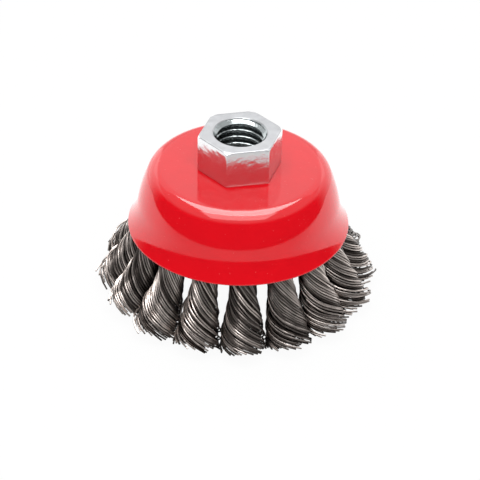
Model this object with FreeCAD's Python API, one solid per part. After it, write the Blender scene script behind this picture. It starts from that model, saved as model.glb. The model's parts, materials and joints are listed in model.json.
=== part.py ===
import FreeCAD, Part
import math
import os

# Wire cup brush, standing on its wire ends. Millimetres, +Z up along the spindle axis.
# Heights are worked out from the plane of the cup's rim, and the finished pieces are then
# raised so that the lowest wire ends touch z = 0.
Vec = FreeCAD.Vector
AXIS = Vec(0, 0, 1)

# Cup, a drawn steel shell
cup_rim_radius = 33.7
cup_height = 20.2
cup_wall = 1.2
cup_rim_slope = 32.0           # of the skirt's hollow flare at the rim, off the vertical
cup_waist_slope = 10.8
cup_shoulder_slope = 23.6
cup_waist_height = 8.3
cup_shoulder_radius = 4.95
cup_rim_round = 0.45

# Nut, with a spigot that is rolled over inside the cup
nut_across_flats = 22.2
nut_height = 11.7
nut_chamfer_angle = 30.0
nut_chamfer_start = 0.85       # how far out from the flats the corners' chamfers begin
thread_major_radius = 7.94     # 5/8 inch, 11 turns to the inch
thread_depth = 1.14
thread_mouth_extra = 0.25
nut_shoulder = 1.4             # step from the flats in to the spigot
spigot_clearance = 0.1
collar_lip = 2.0               # how far the rolled end reaches past the spigot
collar_edge = 0.5              # metal left between the spigot's size and the flare inside it
collar_thickness = 1.7
collar_round = 0.6
thread_bore_radius = thread_major_radius - thread_depth
spigot_radius = nut_across_flats / 2 - nut_shoulder
collar_radius = spigot_radius + collar_lip
collar_flare_radius = spigot_radius - collar_edge

# Knot plate, a pressed dish with one hole for each knot
plate_thickness = 1.5
plate_bend_radius = 2.5
plate_edge_height = 3.2        # along the slope, from the rim plane up to the plate's edge
plate_web = 2.6                # from the plate's edge to the holes
plate_hole_radius = 2.9

# Knots, bundles of wire that are looped through the plate and twisted
knot_count = 16
knot_phase = -1.6              # angle of the first knot, nut corners being at 90 degrees
knot_lean = 21.0               # outward lean from the vertical
knot_length = 22.7             # along the axis, from the rim plane to the ends
knot_root_radius = 3.7
knot_neck_length = 5.0         # straight stretch of the twisted body above its flare
knot_rim_clearance = 1.1       # room between the roots and the cup's wall, across the rim plane
knot_tip_clearance = 0.2       # half the room between the ends of neighbouring knots
knot_strands = 6
knot_groove = 0.1              # depth of the grooves between strands, as a share of the radius
knot_end_recess = 1.2          # how far the middle of a knot's end stands back from its strands
knot_end_core = 0.5            # size of that middle, as a share of the radius
strand_end_step = 0.9          # how far the strands' ends reach past the grooves between them
knot_pitch_top = 37.0          # length of one turn of the twist
knot_pitch_tip = 26.0
knot_seat_gap = 0.3            # from the plate's edge to the twisted body
leg_clearance = 0.1            # from a leg to each face of the plate
leg_side_clearance = 0.4       # from a leg to the sides of its hole
leg_foot = 1.0                 # how deep a leg runs into the twisted body
strand_points = 3
knot_levels = 12
leg_points = 8
fold_steps = 5

# Where the knots' axes cross the rim plane, and what follows from it and from the plate
lean = math.radians(knot_lean)
knot_ring_radius = cup_rim_radius - cup_wall - knot_rim_clearance - knot_root_radius
knot_end_radius = knot_ring_radius + knot_length * math.sin(lean)
knot_tip_radius = knot_end_radius * math.sin(math.pi / knot_count) - knot_tip_clearance
leg_thickness = knot_root_radius - plate_thickness / 2 - leg_clearance
leg_width = 2 * (plate_hole_radius - leg_side_clearance)
down_slope = Vec(math.sin(lean), 0, -math.cos(lean))
off_slope = Vec(math.cos(lean), 0, math.sin(lean))
sideways = Vec(0, 1, 0)


def slope_point(height, outward, side):
    """Point given by its height up the slope, its distance off it and its place along the ring."""
    foot = Vec(knot_ring_radius, 0, 0)
    return foot - down_slope * height + off_slope * outward + sideways * side


def turn_about_axis(edges):
    """Solid made by turning a closed outline in the XZ plane about the spindle axis."""
    return Part.Face(Part.Wire(edges)).revolve(Vec(0, 0, 0), AXIS, 360)


def closed_outline(points):
    """Straight edges that join radius and height pairs and close the outline."""
    corners = [Vec(r, 0, z) for r, z in points]
    return Part.makePolygon(corners + corners[:1]).Edges


def drilled_disc(radius, low, high):
    """Plain cylinder on the spindle axis between two heights."""
    return Part.makeCylinder(radius, high - low, Vec(0, 0, low), AXIS)


def skirt_arcs():
    """Arcs of the cup's outer section from the rim up to the flat top.

    Each is a centre, a radius that is negative where the skirt is hollow, and the angles above
    the horizontal at which the surface faces at its two ends. Heights and slopes set them all.
    """
    rim, waist, shoulder = [math.radians(slope) for slope in
                            (cup_rim_slope, cup_waist_slope, cup_shoulder_slope)]
    shoulder_height = cup_height - cup_shoulder_radius * (1 - math.sin(shoulder))
    stations = [(0, rim), (cup_waist_height, waist), (shoulder_height, shoulder),
                (cup_height, math.pi / 2)]
    point = Vec(cup_rim_radius, 0, 0)
    arcs = []
    for (low, start), (high, end) in zip(stations, stations[1:]):
        radius = (high - low) / (math.sin(end) - math.sin(start))
        centre = point - facing(start) * radius
        point = centre + facing(end) * radius
        arcs.append((centre, radius, start, end))
    return arcs


def facing(angle):
    """Direction in the XZ plane at an angle above the horizontal."""
    return Vec(math.cos(angle), 0, math.sin(angle))


def cup_surface(depth):
    """Edges of the cup's section at a depth below its outer surface, and its two end points."""
    edges = []
    for centre, radius, start, end in skirt_arcs():
        reach = radius - depth
        if not edges:
            start = math.asin(-centre.z / reach)
            rim = centre + facing(start) * reach
        first, middle, last = [centre + facing(angle) * reach
                               for angle in (start, (start + end) / 2, end)]
        edges.append(Part.Arc(first, middle, last).toShape())
    top_start = Vec(spigot_radius + spigot_clearance, 0, cup_height - depth)
    edges.append(Part.LineSegment(last, top_start).toShape())
    return edges, top_start, rim


def make_cup():
    """Drawn shell: flat top with a hole for the nut, round shoulder, waist and flared rim."""
    outside, outer_start, outer_rim = cup_surface(0)
    inside, inner_start, inner_rim = cup_surface(cup_wall)
    edge = Part.LineSegment(outer_rim, inner_rim).toShape()
    hole = Part.LineSegment(inner_start, outer_start).toShape()
    outline = Part.__sortEdges__(outside + [edge] + inside + [hole])
    shell = turn_about_axis(outline)
    on_rim = [e for e in shell.Edges if abs(e.BoundBox.XMax - outer_rim.x) < 0.01
              and e.BoundBox.ZLength < 0.01]
    return shell.makeFillet(cup_rim_round, on_rim)


def make_nut():
    """Hexagon nut whose spigot passes through cup and plate and is rolled out under the plate."""
    top = cup_height + nut_height
    seat = cup_height - cup_wall - plate_thickness
    low = seat - collar_thickness
    corner_radius = nut_across_flats / 2 / math.cos(math.radians(30))
    corners = [Vec(corner_radius * math.sin(math.radians(60 * i)),
                   corner_radius * math.cos(math.radians(60 * i)), cup_height) for i in range(6)]
    hexagon = Part.Face(Part.makePolygon(corners + corners[:1])).extrude(AXIS * nut_height)
    top_radius = nut_across_flats / 2 + nut_chamfer_start
    drop = (corner_radius - top_radius) * math.tan(math.radians(nut_chamfer_angle))
    chamfered = turn_about_axis(closed_outline([
        (0, cup_height), (corner_radius, cup_height), (corner_radius, top - drop),
        (top_radius, top), (0, top)]))
    spigot = drilled_disc(spigot_radius, seat, cup_height)
    collar = drilled_disc(collar_radius, low, seat)
    collar = collar.makeFillet(collar_round, [e for e in collar.Edges if len(e.Vertexes) == 1])
    mouth_radius = thread_major_radius + thread_mouth_extra
    mouth_depth = mouth_radius - thread_bore_radius
    flare = collar_flare_radius - thread_bore_radius
    bore = turn_about_axis(closed_outline([
        (0, low), (collar_flare_radius, low), (thread_bore_radius, low + flare),
        (thread_bore_radius, top - mouth_depth), (mouth_radius, top), (0, top)]))
    body = hexagon.common(chamfered).fuse([spigot, collar]).removeSplitter()
    return body.cut(bore)


def make_knot_plate():
    """Pressed dish: flat under the cup, bent down along the knots' slope, one hole a knot."""
    half = plate_thickness / 2
    flat_z = cup_height - cup_wall - half
    rise = flat_z / math.cos(lean)
    bend_start = slope_point(rise, 0, 0)
    trim = (plate_bend_radius + half) * math.tan((math.pi / 2 - lean) / 2)
    start = Vec(spigot_radius + spigot_clearance, 0, flat_z)
    centre = Vec(bend_start.x - trim, 0, flat_z - plate_bend_radius - half)
    bisector = (off_slope + AXIS).normalize()
    edge = slope_point(plate_edge_height, 0, 0)

    def side(depth):
        radius = plate_bend_radius + half + depth
        first = Vec(start.x, 0, flat_z + depth)
        top = centre + AXIS * radius
        low = centre + off_slope * radius
        last = edge + off_slope * depth
        return first, last, [Part.LineSegment(first, top).toShape(),
                             Part.Arc(top, centre + bisector * radius, low).toShape(),
                             Part.LineSegment(low, last).toShape()]

    outer_first, outer_last, outer = side(half)
    inner_first, inner_last, inner = side(-half)
    ends = [Part.LineSegment(outer_last, inner_last).toShape(),
            Part.LineSegment(inner_first, outer_first).toShape()]
    dish = turn_about_axis(Part.__sortEdges__(outer + inner + ends))
    hole_height = plate_edge_height + plate_web + plate_hole_radius
    reach = plate_thickness * 2
    punch = Part.makeCylinder(plate_hole_radius, reach * 2, slope_point(hole_height, -reach, 0),
                              off_slope)
    return dish.cut([turned(punch, i) for i in range(knot_count)])


def turned(shape, index):
    """Copy of a shape at the angle of one of the knots."""
    copy = shape.copy()
    copy.rotate(Vec(0, 0, 0), AXIS, knot_phase + 360.0 / knot_count * index)
    return copy


def faceted_solid(rings):
    """Closed solid of flat facets through rings of points, each joined to the next."""
    count = len(rings[0])
    faces = [rings[0], rings[-1]]
    for upper, lower in zip(rings, rings[1:]):
        for i in range(count):
            faces.append([upper[i - 1], upper[i], lower[i - 1]])
            faces.append([upper[i], lower[i], lower[i - 1]])
    shell = Part.makeShell([Part.Face(Part.makePolygon(f + f[:1])) for f in faces])
    shell.sewShape()
    solid = Part.makeSolid(shell)
    if solid.Volume < 0:
        solid.reverse()
    return solid


def twist_angle(distance, length):
    """Turn of the twist at a distance below its start, its pitch changing evenly with it."""
    growth = (knot_pitch_tip - knot_pitch_top) / length
    return 2 * math.pi / growth * math.log(1 + growth * distance / knot_pitch_top)


def flare_share(distance, length):
    """From 0 above the end of the neck to 1 at the wire ends, rising smoothly between them."""
    share = max(0, distance - knot_neck_length) / (length - knot_neck_length)
    return share * share * (3 - 2 * share)


def groove_shape(angle):
    """From 0 on a strand's round to 1 in the groove beside it, at an angle about the knot."""
    return ((1 + math.cos(knot_strands * angle)) / 2) ** 2


def knot_section(height, size=1, end_step=0):
    """Ring of points round the twisted body at a height up its slope: strands side by side."""
    start = plate_edge_height - knot_seat_gap
    length = start + knot_length
    distance = start - height
    flare = flare_share(distance, length)
    radius = knot_root_radius + (knot_tip_radius - knot_root_radius) * flare
    turn = twist_angle(distance, length)
    count = knot_strands * strand_points
    ring = []
    for i in range(count):
        angle = 2 * math.pi * i / count
        groove = groove_shape(angle)
        reach = radius * size * (1 - knot_groove * groove)
        ring.append(slope_point(height + end_step * groove, reach * math.cos(angle + turn),
                                reach * math.sin(angle + turn)))
    return ring


def leg_rings():
    """Rings along the untwisted loop: up inside the plate, over the web and down outside it."""
    start = plate_edge_height - knot_seat_gap - leg_foot
    fold = plate_edge_height + plate_web
    path_radius = plate_thickness / 2 + leg_clearance + leg_thickness / 2
    stations = [(start, math.pi)]
    for i in range(fold_steps + 1):
        stations.append((fold, math.pi - math.pi * i / fold_steps))
    stations.append((start, 0))
    rings = []
    for height, angle in stations:
        ring = []
        for k in range(leg_points):
            round_leg = 2 * math.pi * k / leg_points
            reach = path_radius + leg_thickness / 2 * math.cos(round_leg)
            side = leg_width / 2 * math.sin(round_leg)
            ring.append(slope_point(height + reach * math.sin(angle),
                                    reach * math.cos(angle), side))
        rings.append(ring)
    return rings


def make_knot():
    """One bundle of wires: looped over the plate's web, then twisted and flared to its ends."""
    top = plate_edge_height - knot_seat_gap
    step = (top + knot_length) / (knot_levels - 1)
    sections = [knot_section(top - step * i) for i in range(knot_levels - 1)]
    sections.append(knot_section(-knot_length, end_step=strand_end_step))
    sections.append(knot_section(knot_end_recess - knot_length, size=knot_end_core))
    return faceted_solid(sections).fuse(faceted_solid(leg_rings()))


def make_parts():
    """All the pieces by name, in the frame of the rim plane."""
    knot = make_knot()
    parts = {"cup": make_cup(), "arbor_nut": make_nut(), "knot_plate": make_knot_plate()}
    for i in range(knot_count):
        parts["knot_%02d" % (i + 1)] = turned(knot, i)
    return parts


def main():
    """Raise the pieces onto their wire ends and write one file for each."""
    os.makedirs("parts", exist_ok=True)
    parts = make_parts()
    lowest = min(vertex.Z for vertex in parts["knot_01"].Vertexes)
    for name, shape in parts.items():
        shape.translate(Vec(0, 0, -lowest))
        shape.exportStep("parts/%s.step" % name)
        print(name, shape.ShapeType, len(shape.Solids), "solid", round(shape.Volume, 1), "mm3",
              "valid" if shape.isValid() else "NOT VALID")
    print("rim height", round(-lowest, 3))


main()
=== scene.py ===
"""Looks of a knotted wire cup brush: enamelled cup, plated nut with a thread, wire knots."""

import json
import math

import bpy
import numpy as np
from bpy.props import FloatProperty, FloatVectorProperty, IntProperty, PointerProperty
from mathutils import Matrix, Vector


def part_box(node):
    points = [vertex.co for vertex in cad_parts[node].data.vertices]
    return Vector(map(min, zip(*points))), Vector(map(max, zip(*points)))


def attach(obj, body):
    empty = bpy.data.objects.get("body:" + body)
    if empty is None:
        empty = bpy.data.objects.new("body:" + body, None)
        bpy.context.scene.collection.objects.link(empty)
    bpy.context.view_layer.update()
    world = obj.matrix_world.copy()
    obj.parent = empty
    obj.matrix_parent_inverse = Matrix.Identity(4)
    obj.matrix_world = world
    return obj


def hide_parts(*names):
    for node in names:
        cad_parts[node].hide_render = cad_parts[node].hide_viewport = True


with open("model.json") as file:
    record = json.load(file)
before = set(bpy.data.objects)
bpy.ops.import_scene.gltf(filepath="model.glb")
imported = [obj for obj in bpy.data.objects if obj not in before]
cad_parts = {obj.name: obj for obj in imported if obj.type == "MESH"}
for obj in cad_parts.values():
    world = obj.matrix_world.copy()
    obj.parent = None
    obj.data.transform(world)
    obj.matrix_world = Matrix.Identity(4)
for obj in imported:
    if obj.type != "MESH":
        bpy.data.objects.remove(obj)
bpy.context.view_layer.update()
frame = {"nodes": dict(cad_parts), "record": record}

bl_info = {
    "name": "Knotted Cup Brush",
    "version": (1, 0, 0),
    "blender": (4, 5, 0),
    "location": "3D View > Sidebar > Cup Brush",
    "description": "Builds the enamelled cup, the threaded nut and the twisted wire knots",
    "category": "Add Mesh",
}

MM = 0.001

# Places that come from the frame
CUP_LOW, CUP_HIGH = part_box("cup")
NUT_LOW, NUT_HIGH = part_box("arbor_nut")
RIM_Z = CUP_LOW[2]
CUP_TOP_Z = CUP_HIGH[2]
NUT_TOP_Z = NUT_HIGH[2]
NUT_FOOT_Z = NUT_LOW[2]
THREAD = next(m for m in frame["record"]["mounts"] if m["name"] == "spindle_thread")
KNOT_NODES = sorted(n for n in frame["nodes"] if n.startswith("knot_") and n != "knot_plate")

# Small roundings and clearances of the cup and the nut, and how finely they are divided
CUP_HOLE_ROOM = 0.1 * MM       # between the cup's hole and the spigot
NUT_EDGE = 0.2 * MM            # quarter round of the nut's top edge
NUT_CORNER = 0.35 * MM         # rounding of its six corners
NUT_SEAT_GAP = 0.02 * MM       # its sides end this far above the cup
CHAMFER_SLOPE = math.radians(30)
MOUTH_ROOM = 0.25 * MM         # of the nut's mouth, past the thread's roots
COLLAR_ROUND = 0.6 * MM
CUP_COLUMNS = 256
CUP_ARC_POINTS = 16
CUP_TOP_POINTS = 14
CUP_CREASE = math.radians(40)
NUT_COLUMNS = 288
BORE_ROWS = 168
NUT_CREASE = math.radians(35)

# How the wires of a knot lie and stray. A share is one of the way along the knot.
LAYER_STEP = 0.94              # between rings of wires, in spaces between wires
PLATE_ROOM = 0.1 * MM          # between the plate and the wires beside it
LEG_HALF_WIDTH = 2.5 * MM      # of the flat legs at the plate
FOLD_POINTS = 9                # along a wire's fold over the plate's web
TWIST_DROP = 0.3 * MM          # the twist begins this far below the plate's edge
SETTLE_LENGTH = 2.6 * MM       # over which the flat legs become a round bundle
NECK_BULGE = 0.3 * MM          # swelling over the neck
LENGTH_SCATTER = 0.2 * MM      # of single wires
LENGTH_CLUMPS = 0.22 * MM      # of wires that lie together
SIDE_SCATTER = 0.07 * MM       # outwards, of single wires
SIDE_CLUMPS = 0.13 * MM        # outwards, of wires that lie together
SIDE_WAVE = 0.14 * MM          # outwards, along a wire
ANGLE_CLUMPS = 0.05
ANGLE_WAVE = 0.04
CLUMP_ORDERS = np.array([2, 3, 5, 8, 12])
LOOSE_CHANCE = 0.2             # of an outermost wire to spring out
LOOSE_REACH = (0.2, 1.0)       # mm, least and most
LOOSE_START = (0.2, 0.5)       # share, least and most
LOOSE_RUN = 0.45               # share over which it leaves the bundle
END_START = 0.72               # share from which the ends spread
END_MOST = 1.2                 # where the spread of wires longer than the knot stops growing
END_SPREAD = (0.05, 0.22)      # mm outwards, mean and scatter
END_ANGLE = 0.06               # scatter
SWIRL_START = 0.55             # share from which the ends turn on past the twist
SWIRL = 0.5                    # radians, at the ends
SEED = 700
KNOT_TURN = 0.12               # scatter of a whole knot's angle
KNOT_FLARE = (1.0, 1.05)       # of its radius at the ends, least and most
KNOT_LENGTH_SCATTER = 0.008    # as share of its length
FULL_LAYERS = 2                # outer layers that are drawn in full
FULL_WIRE = (6, 27)            # sides and stations of a wire in them
CORE_WIRE = (4, 21)            # and of a wire further in
WIRE_TONES = (1.6, 1.8)        # shape of the spread between dark and bright wires
LOWEST_WIRE = 0.6              # its centre above the floor, in wires
WIRE_CREASE = math.radians(60)


class BrushSizes(bpy.types.PropertyGroup):
    """Sizes of the pieces, as their maker would set them."""

    cup_rim_radius: FloatProperty(name="Cup rim radius", description="Outer radius at the rim",
                                  default=33.7 * MM, unit="LENGTH")
    cup_rim_slope: FloatProperty(name="Rim slope", description="Of the hollow flare at the rim",
                                 default=math.radians(32), subtype="ANGLE", unit="ROTATION")
    cup_waist_slope: FloatProperty(name="Waist slope", description="Steepest slope of the skirt",
                                   default=math.radians(10.8), subtype="ANGLE", unit="ROTATION")
    cup_shoulder_slope: FloatProperty(name="Shoulder slope", description="Where its bend begins",
                                      default=math.radians(23.6), subtype="ANGLE",
                                      unit="ROTATION")
    cup_waist_height: FloatProperty(name="Waist height",
                                    description="Steepest place of the skirt",
                                    default=8.3 * MM, unit="LENGTH")
    cup_shoulder_radius: FloatProperty(name="Shoulder radius", description="Bend below the top",
                                       default=4.95 * MM, unit="LENGTH")
    cup_wall: FloatProperty(name="Cup wall", description="Thickness of the steel sheet",
                            default=1.2 * MM, unit="LENGTH")
    cup_rim_round: FloatProperty(name="Rim round", description="Rounding of the rim's edge",
                                 default=0.45 * MM, unit="LENGTH")
    nut_across_flats: FloatProperty(name="Nut across flats", description="Spanner size",
                                    default=22.2 * MM, unit="LENGTH")
    nut_chamfer_start: FloatProperty(name="Chamfer start", description="Outward from the flats",
                                     default=0.85 * MM, unit="LENGTH")
    spigot_radius: FloatProperty(name="Spigot radius",
                                 description="Part that goes through the cup",
                                 default=9.7 * MM, unit="LENGTH")
    collar_radius: FloatProperty(name="Collar radius", description="Rolled end under the plate",
                                 default=11.7 * MM, unit="LENGTH")
    collar_flare: FloatProperty(name="Collar flare",
                                description="Radius of the bore's flared end",
                                default=9.2 * MM, unit="LENGTH")
    thread_major: FloatProperty(name="Thread radius", description="Radius at the thread's roots",
                                default=7.94 * MM, unit="LENGTH")
    thread_pitch: FloatProperty(name="Thread pitch", description="Rise of one turn",
                                default=25.4 / 11 * MM, unit="LENGTH")
    plate_thickness: FloatProperty(name="Plate thickness",
                                   description="Thickness of the knot plate",
                                   default=1.5 * MM, unit="LENGTH")
    plate_edge: FloatProperty(name="Plate edge", description="Height of its edge up the slope",
                              default=3.2 * MM, unit="LENGTH")
    plate_web: FloatProperty(name="Plate web", description="From the plate's edge to its holes",
                             default=2.6 * MM, unit="LENGTH")
    knot_phase: FloatProperty(name="First knot", description="Angle of the first knot",
                              default=math.radians(-1.6), subtype="ANGLE", unit="ROTATION")
    knot_lean: FloatProperty(name="Knot lean", description="Outward lean of the knots",
                             default=math.radians(21), subtype="ANGLE", unit="ROTATION")
    knot_rim_clearance: FloatProperty(name="Rim clearance", description="Between roots and cup",
                                      default=1.1 * MM, unit="LENGTH")
    knot_length: FloatProperty(name="Knot length", description="From the rim to the wire ends",
                               default=22.7 * MM, unit="LENGTH")
    knot_root: FloatProperty(name="Knot root", description="Radius of a knot at the plate",
                             default=3.7 * MM, unit="LENGTH")
    knot_neck: FloatProperty(name="Knot neck", description="Straight length above the flare",
                             default=5 * MM, unit="LENGTH")
    knot_tip_clearance: FloatProperty(name="Tip clearance",
                                      description="Half the room at the ends",
                                      default=0.2 * MM, unit="LENGTH")
    knot_strands: IntProperty(name="Strands", description="Strands in a knot", default=6, min=1)
    knot_groove: FloatProperty(name="Strand groove", description="Depth of the strands' grooves",
                               default=0.07, min=0, max=0.5)
    knot_end_recess: FloatProperty(name="End recess", description="Of the middle of a knot's end",
                                   default=1.2 * MM, unit="LENGTH")
    strand_end_step: FloatProperty(name="Strand end step", description="From strands to grooves",
                                   default=0.9 * MM, unit="LENGTH")
    pitch_top: FloatProperty(name="Twist at the plate", description="Length of one turn there",
                             default=37 * MM, unit="LENGTH")
    pitch_tip: FloatProperty(name="Twist at the ends", description="Length of one turn there",
                             default=26 * MM, unit="LENGTH")
    wire: FloatProperty(name="Wire", description="Diameter of the wire",
                        default=0.52 * MM, unit="LENGTH")
    wire_room: FloatProperty(name="Wire room", description="From one wire to the next",
                             default=0.61 * MM, unit="LENGTH")
    wire_layers: IntProperty(name="Wire layers", description="Rings of wires in a knot",
                             default=6, min=1, max=9)


class BrushColours(bpy.types.PropertyGroup):
    """Colours of the finishes, in linear light."""

    enamel: FloatVectorProperty(name="Enamel", description="Gloss paint of the cup",
                                subtype="COLOR", default=(0.76, 0.005, 0.012))
    rim_metal: FloatVectorProperty(name="Rim", description="Thin paint on the cup's cut edge",
                                   subtype="COLOR", default=(0.50, 0.21, 0.20))
    zinc: FloatVectorProperty(name="Zinc", description="Plating of the nut",
                              subtype="COLOR", default=(0.74, 0.75, 0.76))
    wire_light: FloatVectorProperty(name="Bright wire", description="Cleanest wires",
                                    subtype="COLOR", default=(0.73, 0.65, 0.605))
    wire_dark: FloatVectorProperty(name="Dark wire", description="Oiled and oxidised wires",
                                   subtype="COLOR", default=(0.042, 0.033, 0.029))
    plate_steel: FloatVectorProperty(name="Plate steel", description="Bare pressed steel",
                                     subtype="COLOR", default=(0.30, 0.29, 0.28))
    floor: FloatVectorProperty(name="Floor", description="Pale table that the brush stands on",
                               subtype="COLOR", default=(0.93, 0.93, 0.93))


# Shader nodes

class Socket:
    """An output of a node. Python's operators on it add Math nodes to the same tree."""

    def __init__(self, graph, link):
        self.graph = graph
        self.link = link

    def maths(self, operation, *values):
        """One Math node on this value and others."""
        sockets = dict(enumerate((self,) + values))
        return self.graph.node("ShaderNodeMath", {"operation": operation}, sockets)

    def __add__(self, other):
        return self.maths("ADD", other)

    def __mul__(self, other):
        return self.maths("MULTIPLY", other)

    def __sub__(self, other):
        return self.maths("SUBTRACT", other)

    def __rsub__(self, other):
        return self.graph.node("ShaderNodeMath", {"operation": "SUBTRACT"}, {0: other, 1: self})

    def __truediv__(self, other):
        return self.maths("DIVIDE", other)

    def __pow__(self, other):
        return self.maths("POWER", other)

    def __gt__(self, other):
        return self.maths("GREATER_THAN", other)

    __radd__ = __add__
    __rmul__ = __mul__

    def ramp(self, low, high):
        """Smooth rise from 0 to 1 as the value goes from low to high."""
        return self.graph.node("ShaderNodeMapRange", {"interpolation_type": "SMOOTHSTEP"},
                               {0: self, 1: low, 2: high, 3: 0.0, 4: 1.0})


class Graph:
    """A node tree that is built from Python expressions."""

    def __init__(self, tree):
        self.tree = tree
        tree.nodes.clear()

    def node(self, kind, settings=None, sockets=None, output=0):
        """Adds a node, sets its settings first and then its sockets, and gives one output."""
        node = self.tree.nodes.new(kind)
        for name, value in (settings or {}).items():
            setattr(node, name, value)
        for name, value in (sockets or {}).items():
            if isinstance(value, Socket):
                self.tree.links.new(value.link, node.inputs[name])
            elif isinstance(name, int) or node.inputs[name].type != "RGBA":
                node.inputs[name].default_value = value
            else:
                node.inputs[name].default_value = (*value, 1)
        return Socket(self, node.outputs[output]) if node.outputs else None

    def place(self):
        """Object coordinates, which stay with the piece."""
        return self.node("ShaderNodeTexCoord", output="Object")

    def part(self, vector, axis):
        """One part of a vector, by its name."""
        return self.node("ShaderNodeSeparateXYZ", None, {0: vector}, output=axis)

    def radius(self, place):
        """Distance of a place from the spindle axis."""
        across, along = self.part(place, "X"), self.part(place, "Y")
        return (across * across + along * along) ** 0.5

    def ahead(self, place):
        """Distance of a place from the spindle axis towards the front."""
        return self.node("ShaderNodeVectorMath", {"operation": "DOT_PRODUCT"},
                         {0: place, 1: direction(CAMERA_AZIMUTH, 0)}, output="Value")

    def ray(self, kind):
        """1 for light paths of one kind, and 0 for the others."""
        return self.node("ShaderNodeLightPath", output=kind)

    def shows_background(self):
        """1 for light paths that look straight at the stage, by a mirror or through glass."""
        seen = self.ray("Is Camera Ray")
        for kind in ("Is Glossy Ray", "Is Transmission Ray"):
            seen = seen.maths("MAXIMUM", self.ray(kind))
        return seen

    def noise(self, vector, scale, detail=2.0, rough=0.5):
        """Noise between 0 and 1, its scale in cycles to the metre."""
        return self.node("ShaderNodeTexNoise", None,
                         {"Vector": vector, "Scale": scale, "Detail": detail, "Roughness": rough})

    def stretched(self, vector, scale):
        """A vector with its parts scaled apart."""
        return self.node("ShaderNodeVectorMath", {"operation": "MULTIPLY"}, {0: vector, 1: scale})

    def attribute(self, name):
        """A number that the mesh holds at each point."""
        return self.node("ShaderNodeAttribute", {"attribute_name": name}, output="Fac")

    def blend(self, share, first, second, way="MIX"):
        """Mix of two colours."""
        pair = {6: first if isinstance(first, Socket) else (*first, 1),
                7: second if isinstance(second, Socket) else (*second, 1)}
        return self.node("ShaderNodeMix", {"data_type": "RGBA", "blend_type": way},
                         {0: share, **pair}, output=2)

    def bump(self, height, distance, under=None):
        """Surface detail from a height between 0 and 1 that stands for a real distance."""
        sockets = {"Height": height, "Distance": distance, "Strength": 1.0}
        if under:
            sockets["Normal"] = under
        return self.node("ShaderNodeBump", None, sockets)

    def surface(self, **sockets):
        """The finished surface: a Principled shader into the output."""
        named = {name.replace("_", " "): value for name, value in sockets.items()}
        shader = self.node("ShaderNodeBsdfPrincipled", None, named)
        self.node("ShaderNodeOutputMaterial", None, {"Surface": shader})

    def glow(self, colour):
        """A shader that gives off a colour as it is written."""
        return self.node("ShaderNodeEmission", None, {"Color": colour, "Strength": 1.0})

    def mixed_surface(self, share, first, second):
        """A mix of two shaders into the output."""
        mixed = self.node("ShaderNodeMixShader", None, {0: share, 1: first, 2: second})
        self.node("ShaderNodeOutputMaterial", None, {"Surface": mixed})


def finish(name):
    """A new material and its empty graph."""
    material = bpy.data.materials.new(name)
    material.use_nodes = True
    return material, Graph(material.node_tree)


def dimmed(colour, share):
    """A colour with all its parts scaled alike."""
    return tuple(part * share for part in colour)


# Marks on the finishes
RIM_WEAR = (0.05 * MM, 0.45 * MM)      # height above the rim over which the paint thickens
RIM_WEAR_WANDER = 0.35 * MM
SPECK_TINT = (0.95, 0.50, 0.48)
PIT_TINT = (0.30, 0.30, 0.31)
TURNING_MARK = 0.22 * MM               # from one mark of the turning tool to the next
NUT_TOP_DIM = (0.54, 0.54, 0.55)       # the top is darker than the sides
BORE_DIM = (0.46, 0.49, 0.49)
BORE_SHADE = (7.9 * MM, 8.1 * MM)      # radius over which the bore ends
# Painted shade: the near-black tint laid over wires deep in a knot, where shade falls between
# them
PAINTED_CORE_SHADE = (0.020, 0.017, 0.016)


def red_enamel(colours):
    """Gloss enamel: a slight orange peel, dust specks, and thin worn paint along the cut rim."""
    material, g = finish("red_enamel")
    place = g.place()
    patches = g.noise(place, 140, 3)
    peel = g.noise(place, 900, 2)
    waves = g.noise(place, 230, 1)
    specks = g.noise(place, 1500, 1).ramp(0.74, 0.80)
    height = g.part(place, "Z") + (g.noise(place, 700, 2) - 0.5) * RIM_WEAR_WANDER
    worn = 1 - height.ramp(RIM_Z + RIM_WEAR[0], RIM_Z + RIM_WEAR[1])
    paint = g.blend(patches, dimmed(colours.enamel, 0.88), colours.enamel)
    paint = g.blend(specks * 0.12, paint, SPECK_TINT)
    paint = g.blend(worn * 0.85, paint, colours.rim_metal)
    g.surface(Base_Color=paint, Roughness=0.30 + patches * 0.08 + worn * 0.15,
              Specular_IOR_Level=0.0, Coat_Weight=1.0, Coat_Roughness=0.07, Coat_IOR=1.52,
              Normal=g.bump(peel, 0.014 * MM, under=g.bump(waves, 0.26 * MM)))
    return material


def zinc_plating(colours):
    """Bright zinc on machined steel: turning marks on its top, cloudy gloss, dark pits.

    Soft hammered waves and a fine grain lie under the marks, and the bore is darker.
    """
    material, g = finish("zinc_plating")
    place = g.place()
    radius = g.radius(place)
    on_top = (g.part(place, "Z") + NUT_EDGE) > NUT_TOP_Z
    in_bore = 1 - radius.ramp(*BORE_SHADE)
    rings = (radius * (2 * math.pi / TURNING_MARK)).maths("SINE") * on_top
    clouds = g.noise(place, 420, 4, 0.6)
    grain = g.noise(place, 3200, 3, 0.6)
    hammered = g.noise(place, 300, 2)
    pits = g.noise(place, 1900, 2).ramp(0.70, 0.76)
    colour = g.blend(clouds, dimmed(colours.zinc, 0.86), colours.zinc)
    colour = g.blend(pits * 0.35, colour, PIT_TINT)
    colour = g.blend(on_top, colour, NUT_TOP_DIM, "MULTIPLY")
    colour = g.blend(in_bore, colour, BORE_DIM, "MULTIPLY")
    relief = g.bump(grain, 0.014 * MM, under=g.bump(hammered, 0.16 * MM))
    g.surface(Base_Color=colour, Metallic=1.0, Roughness=0.10 + clouds * 0.14 + on_top * 0.14,
              Normal=g.bump(rings * 0.5 + 0.5, 0.004 * MM, under=relief))
    return material


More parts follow.
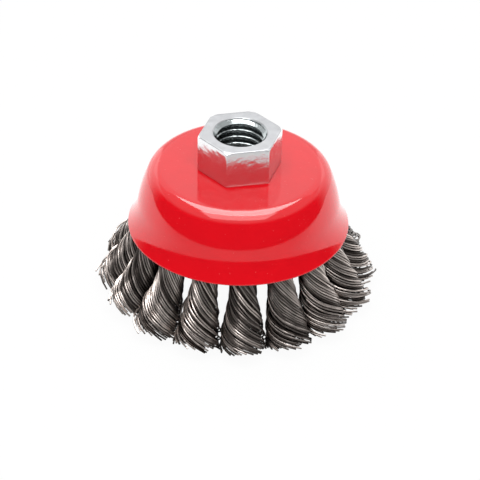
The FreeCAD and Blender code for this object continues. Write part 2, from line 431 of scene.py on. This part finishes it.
def pressed_steel(colours):
    """Bare pressed sheet: rolling marks, and a cloudy film that darkens and dulls it."""
    material, g = finish("pressed_steel")
    place = g.place()
    film = g.noise(place, 160, 4, 0.6)
    rolled = g.noise(g.stretched(place, (4000.0, 260.0, 260.0)), 1.0, 3)
    g.surface(Base_Color=g.blend(film, colours.plate_steel, dimmed(colours.plate_steel, 0.62)),
              Metallic=1.0, Roughness=0.34 + film * 0.2, Normal=g.bump(rolled, 0.006 * MM))
    return material


def drawn_wire(colours):
    """Hard drawn wire: each wire has its own tone, under a patchy film, with painted shade in the
    core.
    """
    material, g = finish("drawn_wire")
    place = g.place()
    film = g.noise(place, 900, 3, 0.6)
    brightness = (g.attribute("wire_tone") * 0.9 + film * 0.12).ramp(0.1, 0.95)
    # Painted shade: wires further into the bundle are darkened towards the core tint
    core = 1 - g.attribute("wire_depth").ramp(0.78, 0.99)
    colour = g.blend(brightness, colours.wire_dark, colours.wire_light)
    colour = g.blend(core * 0.85, colour, PAINTED_CORE_SHADE)
    g.surface(Base_Color=colour, Metallic=1.0, Roughness=0.33 + film * 0.1,
              Normal=g.bump(g.noise(place, 5200, 2), 0.002 * MM))
    return material


# Meshes

def put_mesh(name, points, faces, material, attributes=None):
    """New object from an array of points and a list of arrays of faces, one for each size."""
    mesh = bpy.data.meshes.new(name)
    loops = np.concatenate([block.ravel() for block in faces]).astype(np.int32)
    totals = np.concatenate([np.full(len(block), block.shape[1]) for block in faces])
    starts = np.concatenate([[0], np.cumsum(totals)[:-1]])
    mesh.vertices.add(len(points))
    mesh.vertices.foreach_set("co", np.ascontiguousarray(points, dtype=np.float32).ravel())
    mesh.loops.add(len(loops))
    mesh.loops.foreach_set("vertex_index", loops)
    mesh.polygons.add(len(totals))
    mesh.polygons.foreach_set("loop_start", starts.astype(np.int32))
    mesh.polygons.foreach_set("loop_total", totals.astype(np.int32))
    for key, values in (attributes or {}).items():
        layer = mesh.attributes.new(key, "FLOAT", "POINT")
        layer.data.foreach_set("value", np.asarray(values, dtype=np.float32).ravel())
    mesh.update(calc_edges=True)
    mesh.validate()
    mesh.materials.append(material)
    piece = bpy.data.objects.new(name, mesh)
    bpy.context.scene.collection.objects.link(piece)
    return piece


def smooth(piece, crease):
    """Smooth shading, with edges sharper than the crease's angle kept crisp."""
    piece.data.shade_smooth()
    piece.data.set_sharp_from_angle(angle=crease)


def closed_ring_faces(rows, columns):
    """Quads of a grid whose rows and columns both close on themselves, as on a ring."""
    row, column = np.meshgrid(np.arange(rows), np.arange(columns), indexing="ij")
    next_row = (row + 1) % rows
    next_column = (column + 1) % columns
    corners = [row * columns + column, row * columns + next_column,
               next_row * columns + next_column, next_row * columns + column]
    return np.stack(corners, -1).reshape(-1, 4)


def arc(centre, radius, start, end, count):
    """Points on an arc: centre plus radius times (cosine, sine) of an angle from start to end."""
    angle = np.linspace(start, end, count)
    return np.stack([centre[0] + radius * np.cos(angle), centre[1] + radius * np.sin(angle)], -1)


def line(start, end, count):
    """Points on a straight line, without its last one."""
    share = np.linspace(0, 1, count, endpoint=False)[:, None]
    return np.asarray(start) * (1 - share) + np.asarray(end) * share


def facing(angle):
    """Direction at an angle above the horizontal, in radius and height."""
    return np.array([math.cos(angle), math.sin(angle)])


def direction(azimuth, elevation):
    """Direction at an azimuth and an elevation, in the frame."""
    return Vector((math.cos(azimuth) * math.cos(elevation),
                   math.sin(azimuth) * math.cos(elevation), math.sin(elevation)))


def smooth_step(share):
    """Smooth rise from 0 to 1: 3 x squared - 2 x cubed, with x the share held to 0 to 1."""
    share = np.clip(share, 0, 1)
    return share * share * (3 - 2 * share)


def skirt_arcs(sizes):
    """Arcs of the cup's outer section from the rim up: centre, radius and the two end angles.

    Between two heights with given slopes a and b the arc's radius is their distance in height
    over sin b - sin a, so it comes out negative where the skirt is hollow.
    """
    shoulder = CUP_TOP_Z - sizes.cup_shoulder_radius * (1 - math.sin(sizes.cup_shoulder_slope))
    stations = [(RIM_Z, sizes.cup_rim_slope),
                (RIM_Z + sizes.cup_waist_height, sizes.cup_waist_slope),
                (shoulder, sizes.cup_shoulder_slope), (CUP_TOP_Z, math.pi / 2)]
    point = np.array([sizes.cup_rim_radius, RIM_Z])
    arcs = []
    for (low, start), (high, end) in zip(stations, stations[1:]):
        radius = (high - low) / (math.sin(end) - math.sin(start))
        centre = point - facing(start) * radius
        point = centre + facing(end) * radius
        arcs.append((centre, radius, start, end))
    return arcs


def cup_section(sizes, depth, rounding):
    """Points at a depth below the cup's outer side, from the rim up to the hole in its top.

    The lowest arc starts where a rounding of the rim's edge touches it. The centre of that
    rounding comes second.
    """
    points = []
    for centre, radius, start, end in skirt_arcs(sizes):
        reach = radius - depth
        if not points:
            start = math.asin((RIM_Z + rounding - centre[1]) / (reach - rounding))
            touch = centre + facing(start) * (reach - rounding), start
        points.append(arc(centre, reach, start, end, CUP_ARC_POINTS)[:-1])
    hole = (sizes.spigot_radius + CUP_HOLE_ROOM, CUP_TOP_Z - depth)
    points.append(line(arc(centre, reach, start, end, 2)[-1], hole, CUP_TOP_POINTS))
    return np.concatenate(points + [[hole]]), touch


def lathe(name, profile, columns, material):
    """Surface of revolution: a closed profile's points (r, z) go to (r cos a, r sin a, z)."""
    angle = np.linspace(0, 2 * math.pi, columns, endpoint=False)
    points = np.stack([profile[:, :1] * np.cos(angle), profile[:, :1] * np.sin(angle),
                       np.repeat(profile[:, 1:], columns, axis=1)], -1)
    return put_mesh(name, points.reshape(-1, 3), [closed_ring_faces(len(profile), columns)],
                    material)


def make_cup(sizes, material):
    """Drawn shell: inner section down, cut edge with its rounding, and outer section up."""
    rounding = sizes.cup_rim_round
    outer, (centre, start) = cup_section(sizes, 0, rounding)
    inner, _ = cup_section(sizes, sizes.cup_wall, 0)
    edge = arc(centre, rounding, -math.pi / 2, start, 9)[:-1]
    cut = line(inner[0], edge[0], 4)[1:]
    hole = line(outer[-1], inner[-1], 4)[1:]
    profile = np.concatenate([inner[::-1], cut, edge, outer, hole])
    piece = lathe("cup_shell", profile, CUP_COLUMNS, material)
    smooth(piece, CUP_CREASE)
    return piece


def nut_outline(flat, angle):
    """Radius of a hexagon with rounded corners, at a distance of its flats from the axis.

    It is flat / cos(angle from the middle of the nearest flat), and next to a corner the reach
    to an arc about a centre on the corner's line.
    """
    from_flat = (angle + math.pi / 6) % (math.pi / 3) - math.pi / 6
    from_corner = math.pi / 6 - np.abs(from_flat)
    inset = (flat - NUT_CORNER) / math.cos(math.pi / 6)
    across = inset * np.sin(from_corner)
    rounded = inset * np.cos(from_corner) + np.sqrt(np.abs(NUT_CORNER ** 2 - across ** 2))
    return np.where(across < NUT_CORNER / 2, rounded, flat / np.cos(from_flat))


def bore_radius(sizes, angle, height, mouth):
    """Radius of the bore: a V cut that rises and falls with height / pitch - angle / turn.

    It is limited by the thread's crest and root, and opened to the cones of the mouth and of
    the flare below.
    """
    pitch = sizes.thread_pitch
    phase = (height / pitch - angle / (2 * math.pi)) % 1.0
    half_width = np.abs(phase - 0.5) * pitch
    cut = sizes.thread_major - np.maximum(half_width - pitch / 16, 0) * math.sqrt(3)
    crest = THREAD["dims"]["r_mm"] * MM
    flare = sizes.collar_flare - (height - NUT_FOOT_Z)
    opened = np.maximum(np.maximum(cut, crest), mouth - (NUT_TOP_Z - height))
    return np.minimum(np.maximum(opened, flare), np.maximum(mouth, flare))


def make_nut(sizes, material):
    """Nut as one closed grid of rings that all share the same polar angles.

    From the rolled collar up through the bore, over the top, down outside and round the spigot.
    Along the flats the top edge is one quarter round. At the corners it is two parts of that
    with the chamfer between them.
    """
    angle = np.linspace(0, 2 * math.pi, NUT_COLUMNS, endpoint=False)
    flat = sizes.nut_across_flats / 2
    mouth = sizes.thread_major + MOUTH_ROOM
    hexagon = nut_outline(flat, angle)

    def ring(radius, height):
        radius = np.broadcast_to(radius, angle.shape)
        height = np.broadcast_to(height, angle.shape)
        return np.stack([radius * np.cos(angle), radius * np.sin(angle), height], -1)

    heights = np.linspace(NUT_FOOT_Z, NUT_TOP_Z, BORE_ROWS)
    bore = bore_radius(sizes, angle, heights[:, None], mouth)
    inside = [ring(radius, height) for radius, height in zip(bore, heights)]

    top_edge = np.minimum(hexagon, flat + sizes.nut_chamfer_start)
    chamfer = hexagon - top_edge
    fall = NUT_TOP_Z - chamfer * math.tan(CHAMFER_SLOPE)
    cut_round = np.minimum(chamfer / NUT_EDGE, 1) * NUT_EDGE
    first = (top_edge - NUT_EDGE + cut_round * (1 - math.tan(CHAMFER_SLOPE / 2)),
             NUT_TOP_Z - NUT_EDGE)
    second = (hexagon - NUT_EDGE,
              fall - NUT_EDGE + cut_round * (1 - math.tan((math.pi / 2 - CHAMFER_SLOPE) / 2)))
    top = [ring(mouth + (first[0] - mouth) * share, NUT_TOP_Z) for share in (0.25, 0.5, 0.75)]
    for (radius, height), turns in ((first, (90, 75, 60)), (second, (60, 40, 20, 0))):
        for turn in np.radians(turns):
            top.append(ring(radius + NUT_EDGE * math.cos(turn),
                            height + NUT_EDGE * math.sin(turn)))

    low = CUP_TOP_Z + NUT_EDGE
    bottom = CUP_TOP_Z + NUT_SEAT_GAP
    sides = [ring(hexagon, low + (second[1] - low) * share) for share in np.linspace(0.9, 0, 10)]
    sides.append(ring(hexagon - NUT_EDGE * 0.4, bottom))

    seat = CUP_TOP_Z - sizes.cup_wall - sizes.plate_thickness
    under = [ring(sizes.spigot_radius, bottom), ring(sizes.spigot_radius, seat)]
    roll = sizes.collar_radius - COLLAR_ROUND
    for height, start, end in ((seat - COLLAR_ROUND, math.pi / 2, 0),
                               (NUT_FOOT_Z + COLLAR_ROUND, 0, -math.pi / 2)):
        under += [ring(*point) for point in arc((roll, height), COLLAR_ROUND, start, end, 6)]

    rings = np.stack(inside + top + sides + under)
    faces = closed_ring_faces(len(rings), NUT_COLUMNS)[:, ::-1]
    piece = put_mesh("threaded_nut", rings.reshape(-1, 3), [faces], material)
    smooth(piece, NUT_CREASE)
    return piece


def wire_seats(sizes):
    """Places of the wires across a knot's root, as share of the radius, angle and layer.

    Layers are rings a little under one wire apart. Each ring holds as many wires as fit side by
    side across their slant, an even number, and is the same on both sides of the plate's line.
    """
    radius = sizes.knot_root - sizes.wire / 2
    layers = []
    for layer in range(sizes.wire_layers):
        share = 1 - layer * sizes.wire_room * LAYER_STEP / radius
        around = 2 * math.pi * radius * share
        slant = math.cos(math.atan(around / sizes.pitch_top))
        count = max(2, 2 * round(around * slant / sizes.wire_room / 2))
        angle = (np.arange(count // 2) + 0.5) * 2 * math.pi / count - math.pi / 2
        layers.append(np.stack([np.full(count // 2, share), angle,
                                np.full(count // 2, layer)], -1))
    return np.concatenate(layers)


def wave(rng, count, distance, length, turns):
    """Smooth random wander along wires: a sum of sines of the distance with random phases."""
    total = np.zeros((count, distance.shape[-1]))
    for turn in turns:
        phase = rng.uniform(0, 2 * math.pi, (count, 1))
        size = rng.normal(0, 1, (count, 1)) / turn
        total += size * np.sin(2 * math.pi * turn * distance / length + phase)
    return total


def knot_ring(sizes):
    """Radius of the ring on which the knots' axes cross the rim plane."""
    return sizes.cup_rim_radius - sizes.cup_wall - sizes.knot_rim_clearance - sizes.knot_root


def knot_tip(sizes):
    """Radius of a knot at its ends, where it nearly meets its neighbours."""
    end_ring = knot_ring(sizes) + sizes.knot_length * math.sin(sizes.knot_lean)
    return end_ring * math.sin(math.pi / len(KNOT_NODES)) - sizes.knot_tip_clearance


def clumps(angle, phases):
    """Smooth random function of the angle about a knot, the same for wires that lie together.

    A sum of sin(order * angle + phase), each term smaller as its order rises.
    """
    terms = np.sin(CLUMP_ORDERS * angle[..., None] + phases)
    return (terms / np.sqrt(CLUMP_ORDERS)).sum(-1)


def half_wires(rng, seats, side, sizes, stations, knot):
    """Centre lines of the half bundles on one side of the plate, ends first, in slope places.

    In the twisted body a wire keeps its share of the radius and its angle turns with the twist,
    which is the integral of one turn per pitch as the pitch changes. Below the neck the radius
    grows to the tip's with a smooth step. Grooves, clumps, wander and springy bows are added.
    Towards the ends the wires spread, and swirl on past the twist with the square of the share
    of the way that is left. At the plate the body blends into a flat leg beside the web.
    """
    share, angle, _ = seats.T[:, :, None]
    one_each = (len(seats), 1)
    start = sizes.plate_edge - TWIST_DROP
    full = start + sizes.knot_length
    inside = sizes.plate_thickness / 2 + PLATE_ROOM + sizes.wire / 2
    leg_depth = sizes.knot_root - sizes.plate_thickness / 2 - PLATE_ROOM - sizes.wire
    leg_off = side * (inside + leg_depth * share * np.cos(angle))
    leg_side = share * np.sin(angle) * (LEG_HALF_WIDTH - sizes.wire / 2)
    if side < 0:
        angle = math.pi - angle

    outer = np.clip(share, 0, 1)
    groove = ((1 + np.cos(sizes.knot_strands * angle)) / 2) ** 2
    lengths = full * (1 + knot["length"]) + rng.normal(0, LENGTH_SCATTER, one_each)
    lengths = lengths + clumps(angle, knot["phases"][0]) * LENGTH_CLUMPS
    lengths = lengths - sizes.knot_end_recess * (1 - outer ** 2) - sizes.strand_end_step * groove
    distance = lengths * np.linspace(1, 0, stations)[None, :]
    along = distance / full

    flare = smooth_step((distance - sizes.knot_neck) / (full - sizes.knot_neck))
    radius = sizes.knot_root + (knot_tip(sizes) * knot["flare"] - sizes.knot_root) * flare
    radius = radius + np.clip(distance / sizes.knot_neck, 0, 1) * (1 - flare) * NECK_BULGE
    reach = (radius - sizes.wire / 2) * share * (1 - sizes.knot_groove * groove * outer ** 2)
    reach = reach + clumps(angle, knot["phases"][1]) * SIDE_CLUMPS * along * outer
    reach = reach + wave(rng, len(seats), distance, full, (1, 2, 3)) * SIDE_WAVE * along
    reach = reach + rng.normal(0, SIDE_SCATTER, one_each) * outer
    loose = rng.random(one_each) < LOOSE_CHANCE * outer ** 4
    loose = loose * rng.uniform(*LOOSE_REACH, one_each) * MM
    leaving = rng.uniform(*LOOSE_START, one_each)
    reach = reach + loose * smooth_step((along - leaving) / LOOSE_RUN)
    end = np.clip((along - END_START) / (1 - END_START), 0, END_MOST) ** 2
    reach = reach + end * (rng.normal(*END_SPREAD, one_each) * MM) * outer

    growth = (sizes.pitch_tip - sizes.pitch_top) / full
    twist = 2 * math.pi / growth * np.log(1 + growth * distance / sizes.pitch_top)
    wander = wave(rng, len(seats), distance, full, (1, 2)) * ANGLE_WAVE * along
    wander = wander + clumps(angle, knot["phases"][2]) * ANGLE_CLUMPS * along ** 2
    wander = wander + end * rng.normal(0, END_ANGLE, one_each)
    swirl = np.clip((along - SWIRL_START) / (1 - SWIRL_START), 0, 1) ** 2 * SWIRL
    place = angle + twist + swirl + knot["turn"] + wander

    body = np.stack([start - distance, reach * np.cos(place), reach * np.sin(place)], -1)
    leg = np.stack([start - distance, leg_off + 0 * distance, leg_side + 0 * distance], -1)
    settle = smooth_step(distance / SETTLE_LENGTH)[..., None]
    return body * settle + leg * (1 - settle), leg_off[:, 0], leg_side[:, 0]


def bundle(rng, seats, sizes, stations, knot):
    """Whole wires, from end to end: one half, the fold over the plate's web, and the other half.

    The fold is a half circle about the web's upper edge, whose radius is the leg's distance
    from the plate's middle: height = web + r sin(a), outward = r cos(a).
    """
    inner, off, side = half_wires(rng, seats, -1, sizes, stations, knot)
    outer, _, _ = half_wires(rng, seats, 1, sizes, stations, knot)
    web = sizes.plate_edge + sizes.plate_web
    angle = np.linspace(math.pi, 0, FOLD_POINTS)[None, :]
    reach = np.abs(off)[:, None]
    fold = np.stack([web + reach * np.sin(angle), reach * np.cos(angle),
                     side[:, None] + 0 * angle], -1)
    return np.concatenate([inner, fold, outer[:, ::-1]], 1)


def to_world(slope, azimuth, sizes):
    """Slope places (height, outward, side) to the frame: the foot plus each times its axis."""
    lean = sizes.knot_lean
    foot = np.array([knot_ring(sizes), 0, RIM_Z])
    axes = np.array([[-math.sin(lean), 0, math.cos(lean)],
                     [math.cos(lean), 0, math.sin(lean)],
                     [0, 1, 0]])
    points = foot + slope @ axes
    cos, sin = math.cos(azimuth), math.sin(azimuth)
    return points @ np.array([[cos, sin, 0], [-sin, cos, 0], [0, 0, 1]])


def tubes(paths, azimuth, radius, sides):
    """Round tubes along paths: path + radius (cos a N + sin a B), N square to the knot's side.

    Gives points, quads between the rings and a many-sided cap at each end.
    """
    count, stations, _ = paths.shape
    tangent = np.gradient(paths, axis=1)
    tangent /= np.linalg.norm(tangent, axis=-1, keepdims=True)
    across = np.array([-math.sin(azimuth), math.cos(azimuth), 0])
    normal = np.cross(tangent, across)
    normal /= np.linalg.norm(normal, axis=-1, keepdims=True)
    third = np.cross(tangent, normal)
    angle = np.linspace(0, 2 * math.pi, sides, endpoint=False)[:, None]
    points = (paths[:, :, None] + radius * (np.cos(angle) * normal[:, :, None]
                                            + np.sin(angle) * third[:, :, None]))
    index = np.arange(count * stations * sides).reshape(count, stations, sides)
    turned = np.roll(index, -1, axis=2)
    quads = np.stack([index[:, :-1], turned[:, :-1], turned[:, 1:], index[:, 1:]], -1)
    caps = np.concatenate([index[:, 0, ::-1], index[:, -1]])
    return points.reshape(-1, 3), quads.reshape(-1, 4), caps


def make_knot(number, sizes, material):
    """One knot: full round wires outside, simpler ones in the core, each with its own tone."""
    rng = np.random.default_rng(SEED + number)
    azimuth = sizes.knot_phase + number * 2 * math.pi / len(KNOT_NODES)
    knot = {"turn": rng.normal(0, KNOT_TURN), "flare": rng.uniform(*KNOT_FLARE),
            "length": rng.normal(0, KNOT_LENGTH_SCATTER),
            "phases": rng.uniform(0, 2 * math.pi, (3, len(CLUMP_ORDERS)))}
    seats = wire_seats(sizes)
    in_full = seats[:, 2] < FULL_LAYERS
    points, quads, caps, tones, depths = [], [], [], [], []
    base = 0
    for group, (sides, stations) in ((seats[in_full], FULL_WIRE), (seats[~in_full], CORE_WIRE)):
        paths = to_world(bundle(rng, group, sizes, stations, knot), azimuth, sizes)
        paths[..., 2] = np.maximum(paths[..., 2], sizes.wire * LOWEST_WIRE)
        block, block_quads, block_caps = tubes(paths, azimuth, sizes.wire / 2, sides)
        per_wire = paths.shape[1] * sides
        points.append(block)
        quads.append(block_quads + base)
        caps.append(block_caps + base)
        tones.append(np.repeat(rng.beta(*WIRE_TONES, len(group)), per_wire))
        depths.append(np.repeat(group[:, 0], per_wire))
        base += len(block)
    faces = [np.concatenate(quads)] + caps
    piece = put_mesh("wires_%02d" % (number + 1), np.concatenate(points), faces, material,
                     {"wire_tone": np.concatenate(tones), "wire_depth": np.concatenate(depths)})
    smooth(piece, WIRE_CREASE)
    return piece


# Operators

class BRUSH_OT_cup(bpy.types.Operator):
    """Build the enamelled cup"""

    bl_idname = "brush.cup"
    bl_label = "Cup"

    def execute(self, context):
        sizes = context.scene.brush_sizes
        piece = make_cup(sizes, red_enamel(context.scene.brush_colours))
        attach(piece, "root")
        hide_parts("cup")
        return {"FINISHED"}


class BRUSH_OT_nut(bpy.types.Operator):
    """Build the plated nut with its thread"""

    bl_idname = "brush.nut"
    bl_label = "Nut"

    def execute(self, context):
        sizes = context.scene.brush_sizes
        piece = make_nut(sizes, zinc_plating(context.scene.brush_colours))
        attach(piece, "root")
        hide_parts("arbor_nut")
        return {"FINISHED"}


class BRUSH_OT_plate(bpy.types.Operator):
    """Finish the knot plate"""

    bl_idname = "brush.plate"
    bl_label = "Knot plate"

    def execute(self, context):
        material = pressed_steel(context.scene.brush_colours)
        for slot in frame["nodes"]["knot_plate"].material_slots:
            slot.material = material
        return {"FINISHED"}


class BRUSH_OT_knots(bpy.types.Operator):
    """Build the ring of twisted wire knots"""

    bl_idname = "brush.knots"
    bl_label = "Wire knots"

    def execute(self, context):
        sizes = context.scene.brush_sizes
        material = drawn_wire(context.scene.brush_colours)
        for number, node in enumerate(KNOT_NODES):
            piece = make_knot(number, sizes, material)
            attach(piece, "root")
            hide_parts(node)
        return {"FINISHED"}


# Stage: a white floor and world, soft boxes, and the camera at the photograph's angle

CAMERA_DISTANCE = 0.644
CAMERA_ELEVATION = math.radians(34.48)
CAMERA_AZIMUTH = math.radians(-72.6)
CAMERA_ROLL = math.radians(1.3)
CAMERA_LENS = 159.4
SENSOR_WIDTH = 36
AIM_RIGHT = 0.51 * MM          # from the axis at the rim's height to the picture's middle
AIM_DOWN = 5.65 * MM
CARD_DISTANCE = 0.27
CARD_HEIGHT = 0.25
CARD_FADE_HEIGHT = 0.13        # where it begins to fade out upwards
CARD_SPREAD = math.radians(140)
CARD_FADE = math.radians(45)
CARD_COLUMNS = 41
CARD_TINT = (0.02, 0.02, 0.02)
FLOOR_RADIUS = 6
FLOOR_SIDES = 64
FLOOR_WHITE = 0.95             # share of white where the floor is seen, the rest is as lit
# The floor's glow in reflections is painted light: a painted shadow about the foot, brighter
# behind than in front
FOOT_SHADE = (0.038, 0.062)    # radius over which the mirrored floor comes out of the shade
FRONT_FADE = (-0.02, 0.12)     # distance ahead over which it gets dimmer
GLOW_BEHIND = 1.5
GLOW_DROP = 0.7                # from behind to the front
WHITE = (1, 1, 1)
WORLD_GREY = (0.50, 0.50, 0.50)

# Degrees round from the camera, degrees up, distance, width and height in metres, and watts
LAMPS = {
    "back_box": (180, 40, 0.90, (1.2, 0.5), 1.0),
    "top_box": (0, 70, 0.90, (0.9, 0.6), 6.0),
    "glint_box": (0, 104, 0.95, (0.8, 0.7), 14.0),
    "left_box": (-130, 15, 0.90, (1.1, 0.6), 1.8),
    "right_box": (130, 15, 0.90, (1.1, 0.6), 1.2),
}


def soft_box(name, azimuth, elevation, distance, size, power):
    """Rectangular lamp on a sphere about the brush, facing it."""
    data = bpy.data.lights.new(name, "AREA")
    data.shape = "RECTANGLE"
    data.size, data.size_y = size
    data.energy = power
    lamp = bpy.data.objects.new(name, data)
    bpy.context.scene.collection.objects.link(lamp)
    away = direction(azimuth, elevation)
    lamp.location = Vector((0, 0, RIM_Z)) + away * distance
    lamp.rotation_euler = away.to_track_quat("Z", "Y").to_euler()
    return lamp


class BRUSH_OT_stage(bpy.types.Operator):
    """Set up the floor, the light and the camera"""

    bl_idname = "brush.stage"
    bl_label = "Stage"

    def execute(self, context):
        scene = context.scene
        scene.view_settings.view_transform = "Standard"
        self.make_floor(scene.brush_colours)
        self.make_world(scene)
        self.make_lamps()
        self.make_card()
        self.make_camera(scene)
        return {"FINISHED"}

    def make_floor(self, colours):
        """A wide disc that looks white to the camera and keeps a soft shadow of the brush.

        Reflections see a painted shadow about the brush's foot, and painted light dimmer in front
        than behind.
        """
        material, g = finish("pale_floor")
        place = g.place()
        lit = g.node("ShaderNodeBsdfDiffuse", None, {"Color": colours.floor})
        # Painted shadow about the brush's foot and painted light graded from behind to the front,
        # for reflections only
        shade = g.radius(place).ramp(*FOOT_SHADE)
        level = GLOW_BEHIND - g.ahead(place).ramp(*FRONT_FADE) * GLOW_DROP
        white = g.glow(1 + g.ray("Is Glossy Ray") * (shade * level - 1))
        g.mixed_surface(g.shows_background() * FLOOR_WHITE, lit, white)
        angle = np.linspace(0, 2 * math.pi, FLOOR_SIDES, endpoint=False)
        points = np.stack([FLOOR_RADIUS * np.cos(angle), FLOOR_RADIUS * np.sin(angle),
                           0 * angle], -1)
        put_mesh("floor", points, [np.arange(FLOOR_SIDES)[None, :]], material)

    def make_world(self, scene):
        """White where the camera sees it, and an even pale light everywhere else."""
        world = bpy.data.worlds.new("studio")
        world.use_nodes = True
        g = Graph(world.node_tree)
        colour = g.blend(g.shows_background(), WORLD_GREY, WHITE)
        background = g.node("ShaderNodeBackground", None, {"Color": colour, "Strength": 1.0})
        g.node("ShaderNodeOutputWorld", None, {"Surface": background})
        scene.world = world

    def make_lamps(self):
        """Large soft boxes: behind, above and at each side, and one that only gloss mirrors."""
        for name, (around, up, distance, size, power) in LAMPS.items():
            lamp = soft_box(name, CAMERA_AZIMUTH + math.radians(around), math.radians(up),
                            distance, size, power)
            lamp.visible_diffuse = name != "glint_box"

    def make_card(self):
        """Dark card that stands round the camera's side and shows in reflections alone.

        It fades out towards its top and its two ends.
        """
        material, g = finish("dark_card")
        place = g.place()
        ends = (g.ahead(place) / CARD_DISTANCE).ramp(math.cos(CARD_SPREAD),
                                                     math.cos(CARD_SPREAD - CARD_FADE))
        top = 1 - g.part(place, "Z").ramp(CARD_FADE_HEIGHT, CARD_HEIGHT)
        clear = g.node("ShaderNodeBsdfTransparent")
        g.mixed_surface(g.ray("Is Glossy Ray") * ends * top, clear, g.glow(CARD_TINT))
        angle = CAMERA_AZIMUTH + np.linspace(-1, 1, CARD_COLUMNS) * CARD_SPREAD
        height = np.array([0, CARD_HEIGHT])[:, None]
        points = np.stack([CARD_DISTANCE * np.cos(angle) + 0 * height,
                           CARD_DISTANCE * np.sin(angle) + 0 * height, height + 0 * angle], -1)
        low, high = np.arange(2 * CARD_COLUMNS).reshape(2, CARD_COLUMNS)
        faces = np.stack([low[:-1], high[:-1], high[1:], low[1:]], -1)
        put_mesh("card", points.reshape(-1, 3), [faces], material)

    def make_camera(self, scene):
        """The camera looks at a point just below the rim, turned about its view by the roll."""
        data = bpy.data.cameras.new("camera")
        data.lens = CAMERA_LENS
        data.sensor_width = SENSOR_WIDTH
        camera = bpy.data.objects.new("camera", data)
        scene.collection.objects.link(camera)

        def rolled(view):
            level = view.to_track_quat("Z", "Y").to_matrix().to_4x4()
            return level @ Matrix.Rotation(CAMERA_ROLL, 4, "Z")

        away = direction(CAMERA_AZIMUTH, CAMERA_ELEVATION)
        rim_centre = Vector((0, 0, RIM_Z))
        right, up, _, _ = (column.to_3d() for column in rolled(away).col)
        aim = rim_centre + right * AIM_RIGHT - up * AIM_DOWN
        place = rim_centre + away * CAMERA_DISTANCE
        camera.matrix_world = Matrix.Translation(place) @ rolled((place - aim).normalized())
        scene.camera = camera


class BRUSH_PT_panel(bpy.types.Panel):
    """Pieces of the brush in the sidebar"""

    bl_idname = "BRUSH_PT_panel"
    bl_label = "Cup Brush"
    bl_space_type = "VIEW_3D"
    bl_region_type = "UI"
    bl_category = "Cup Brush"

    def draw(self, context):
        for operator in OPERATORS:
            self.layout.operator(operator.bl_idname)
        for group in (context.scene.brush_sizes, context.scene.brush_colours):
            for name in group.bl_rna.properties.keys()[2:]:
                self.layout.prop(group, name)


OPERATORS = (BRUSH_OT_cup, BRUSH_OT_nut, BRUSH_OT_plate, BRUSH_OT_knots, BRUSH_OT_stage)
CLASSES = (BrushSizes, BrushColours) + OPERATORS + (BRUSH_PT_panel,)


def register():
    for cls in CLASSES:
        bpy.utils.register_class(cls)
    bpy.types.Scene.brush_sizes = PointerProperty(type=BrushSizes)
    bpy.types.Scene.brush_colours = PointerProperty(type=BrushColours)


def unregister():
    del bpy.types.Scene.brush_colours
    del bpy.types.Scene.brush_sizes
    for cls in reversed(CLASSES):
        bpy.utils.unregister_class(cls)


def main():
    """Builds every piece and the stage."""
    register()
    bpy.ops.brush.cup()
    bpy.ops.brush.nut()
    bpy.ops.brush.plate()
    bpy.ops.brush.knots()
    bpy.ops.brush.stage()


if __name__ == "__main__":
    main()
